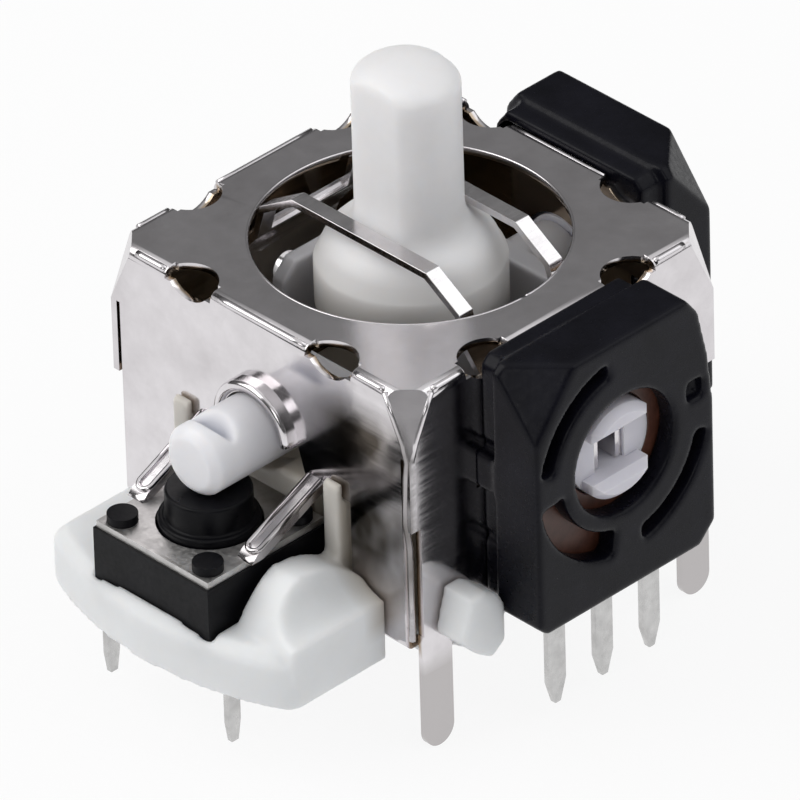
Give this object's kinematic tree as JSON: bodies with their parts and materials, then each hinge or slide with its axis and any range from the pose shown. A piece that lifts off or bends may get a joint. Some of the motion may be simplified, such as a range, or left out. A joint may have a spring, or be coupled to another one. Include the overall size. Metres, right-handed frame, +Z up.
{
  "type": "game controller analog stick",
  "caption": "Two-axis analog stick for a game controller: nickel frame, white stick on crossed yokes, rotary sensors on two walls and a push switch under the yoke's arm.",
  "frame": {"origin": "where the stick's axis meets the plane of the circuit board that the base sits on", "axes": "+Z up the stick, +X out of the wall that carries the first rotary sensor, -Y towards the push switch"},
  "size_m": [0.0193, 0.0257, 0.0237],
  "materials": {
    "nickel": "bright nickel plated sheet steel",
    "nylon": "unfilled translucent white nylon, satin",
    "nylon_stick": "moulded translucent white plastic, satin",
    "spring_steel": "drawn spring steel",
    "black_plastic": "moulded black plastic",
    "black_button": "moulded black plastic, fine texture",
    "black_housing": "moulded black plastic, satin",
    "steel_cover": "bare pressed sheet steel",
    "tinned": "tin plated strip",
    "phenolic": "brown phenolic board with printed tracks",
    "brass": "copper alloy strip"
  },
  "bodies": {
    "chassis": {"frame": "nickel", "base": "nylon", "centring_spring": "spring_steel", "pot_x_housing": "black_housing", "pot_x_board": "phenolic", "pot_x_terminal_1": "tinned", "pot_x_terminal_2": "tinned", "pot_x_terminal_3": "tinned", "pot_y_housing": "black_housing", "pot_y_board": "phenolic", "pot_y_terminal_1": "tinned", "pot_y_terminal_2": "tinned", "pot_y_terminal_3": "tinned", "switch_body": "black_plastic", "switch_cover": "steel_cover", "switch_dome": "spring_steel", "switch_terminal_left": "tinned", "switch_terminal_right": "tinned"},
    "cross_rotor": {"pot_y_rotor": "nylon_stick", "pot_y_wiper": "brass"},
    "rocker": {"lower_yoke": "nylon_stick"},
    "lever": {"stick": "nylon_stick"},
    "arch": {"upper_yoke": "nickel", "pot_x_rotor": "nylon_stick", "pot_x_wiper": "brass"},
    "button": {"switch_plunger": "black_button"},
    "cup": {"spring_cup": "nylon"}
  },
  "joints": [
    {"name": "yoke_roll", "type": "hinge", "parent": "chassis", "child": "cross_rotor", "pos_m": [0, 0.0091, 0.00752], "axis": [0, 1, 0], "range_deg": [-18, 18], "stiffness_Nm_per_rad": 0.02},
    {"name": "yoke_press", "type": "hinge", "parent": "cross_rotor", "child": "rocker", "pos_m": [0, 0.0091, 0.00752], "axis": [1, 0, 0], "range_deg": [0, 0.9], "stiffness_Nm_per_rad": 1, "springref_deg": -0.57},
    {"name": "stick_pitch", "type": "hinge", "parent": "rocker", "child": "lever", "pos_m": [0, 0, 0.00752], "axis": [1, 0, 0], "range_deg": [-18, 18], "stiffness_Nm_per_rad": 0.02},
    {"name": "arch_pitch", "type": "hinge", "parent": "chassis", "child": "arch", "pos_m": [0.0091, 0, 0.00752], "axis": [1, 0, 0], "range_deg": [-22, 22]},
    {"name": "button_press", "type": "slide", "parent": "chassis", "child": "button", "axis": [0, 0, -1], "range_m": [0, 0.0005]},
    {"name": "cup_press", "type": "slide", "parent": "chassis", "child": "cup", "axis": [0, 0, -1], "range_m": [0, 0.00024], "deforming": ["centring_spring"]}
  ],
  "couplings": [
    {"joint": "arch_pitch", "follows": "stick_pitch", "ratio": 1},
    {"joint": "button_press", "follows": "yoke_press", "m_per_rad": 0.01985},
    {"joint": "cup_press", "follows": "yoke_press", "m_per_rad": 0.0091}
  ]
}
